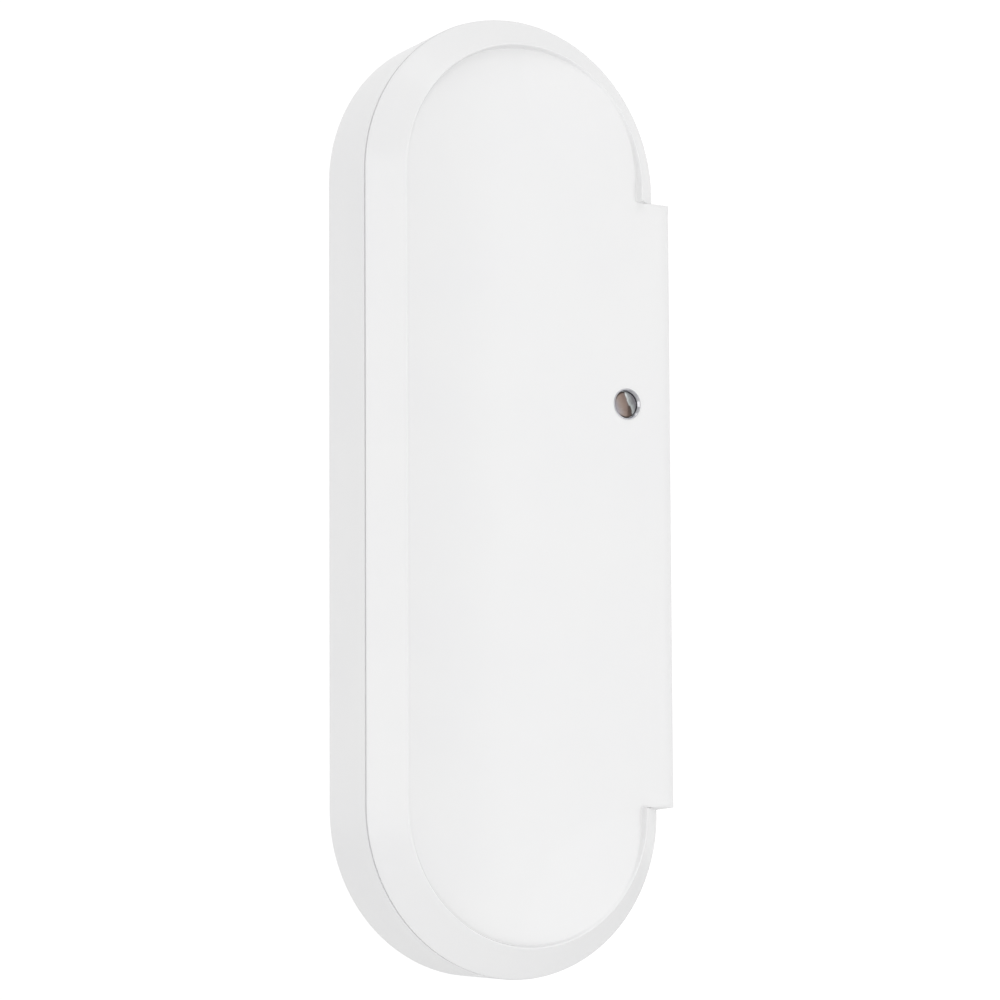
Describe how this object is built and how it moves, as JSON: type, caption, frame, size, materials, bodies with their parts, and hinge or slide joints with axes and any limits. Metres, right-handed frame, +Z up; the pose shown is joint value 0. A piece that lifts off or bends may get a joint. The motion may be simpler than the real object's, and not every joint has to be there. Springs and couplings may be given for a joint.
{
  "type": "video doorbell",
  "caption": "Slim pill-shaped wall doorbell whose dished front cover is the bell push, with a side wing, a chrome-edged camera opening and a wall plate.",
  "frame": {"origin": "middle of the wall plate's back face, which lies on the wall", "axes": "+Z up along the body, +Y into the wall, -Y out through the front cover, +X towards the side with the wing"},
  "size_m": [0.0509, 0.0175, 0.1434],
  "materials": {
    "white_shell": "satin gloss, moulded",
    "white_front": "satin gloss, moulded",
    "bright_chrome": "polished, turned",
    "silicone": "matt moulded silicone",
    "grey_frame": "fine spark texture",
    "black_plastic": "moulded, semi-matt",
    "plunger_plastic": "moulded",
    "black_metal": "black anodised",
    "coated_glass": "multi-coated, bronze and violet",
    "sensor_face": "glossy cover",
    "flex_film": "amber polyimide film",
    "ivory_plastic": "moulded",
    "circuit_board": "green solder mask",
    "screw_steel": "zinc plated",
    "chip_black": "moulded epoxy",
    "tinned_steel": "tin plated sheet",
    "ferrite": "sintered ferrite",
    "antenna_film": "copper on film",
    "capacitor_sleeve": "shrink sleeve",
    "gold_lid": "gold plated lid",
    "speaker_paper": "pressed fibre",
    "speaker_cloth": "woven acoustic cloth",
    "gasket_rubber": "extruded sponge",
    "back_plastic": "fine moulded texture",
    "terminal_brass": "machined",
    "plate_plastic": "fine moulded texture",
    "latch_plastic": "moulded acetal",
    "spring_steel": "stamped spring steel"
  },
  "bodies": {
    "housing": {"casing": "white_shell", "dome_mat": "silicone", "chassis": "grey_frame", "tact_switch": "black_plastic", "lens_barrel": "black_metal", "front_lens": "coated_glass", "rear_lens": "coated_glass", "lens_holder": "black_plastic", "image_sensor": "sensor_face", "camera_flex": "flex_film", "flex_connector": "ivory_plastic", "main_board": "circuit_board", "board_screws": "screw_steel", "processor": "chip_black", "memory_chip": "chip_black", "shield_can": "tinned_steel", "inductors": "ferrite", "board_connector": "ivory_plastic", "antenna": "antenna_film", "backup_capacitor": "capacitor_sleeve", "microphone": "gold_lid", "microphone_boot": "silicone", "speaker_frame": "black_plastic", "speaker_cone": "speaker_paper", "speaker_magnet": "tinned_steel", "speaker_mesh": "speaker_cloth", "rear_gasket": "gasket_rubber", "rear_cover": "back_plastic", "case_screws": "screw_steel", "terminal_block": "black_plastic", "terminal_plates": "terminal_brass", "terminal_screws": "terminal_brass", "reset_switch": "black_plastic", "wall_plate": "plate_plastic", "latch_spring": "spring_steel"},
    "front": {"front_cover": "white_front", "guide_clips": "spring_steel", "lens_trim_ring": "bright_chrome", "lens_window": "coated_glass"},
    "bell_plunger": {"switch_plunger": "plunger_plastic"},
    "reset_key": {"reset_button": "plunger_plastic"},
    "latch": {"release_latch": "latch_plastic"}
  },
  "joints": [
    {"name": "press", "type": "slide", "parent": "housing", "child": "front", "axis": [0, 1, 0], "range_m": [0, 0.0002], "stiffness_N_per_m": 1200, "springref_m": -0.0005, "deforming": ["dome_mat"]},
    {"name": "bell_contact", "type": "slide", "parent": "housing", "child": "bell_plunger", "axis": [0, 1, 0], "range_m": [0, 0.0002]},
    {"name": "reset", "type": "slide", "parent": "housing", "child": "reset_key", "axis": [0, -1, 0], "range_m": [0, 0.0004], "stiffness_N_per_m": 400, "springref_m": -0.0004},
    {"name": "release", "type": "slide", "parent": "housing", "child": "latch", "axis": [-1, 0, 0], "range_m": [0, 0.0012], "stiffness_N_per_m": 300, "springref_m": -0.001, "deforming": ["latch_spring"]}
  ],
  "couplings": [
    {"joint": "bell_contact", "follows": "press", "ratio": 1}
  ]
}
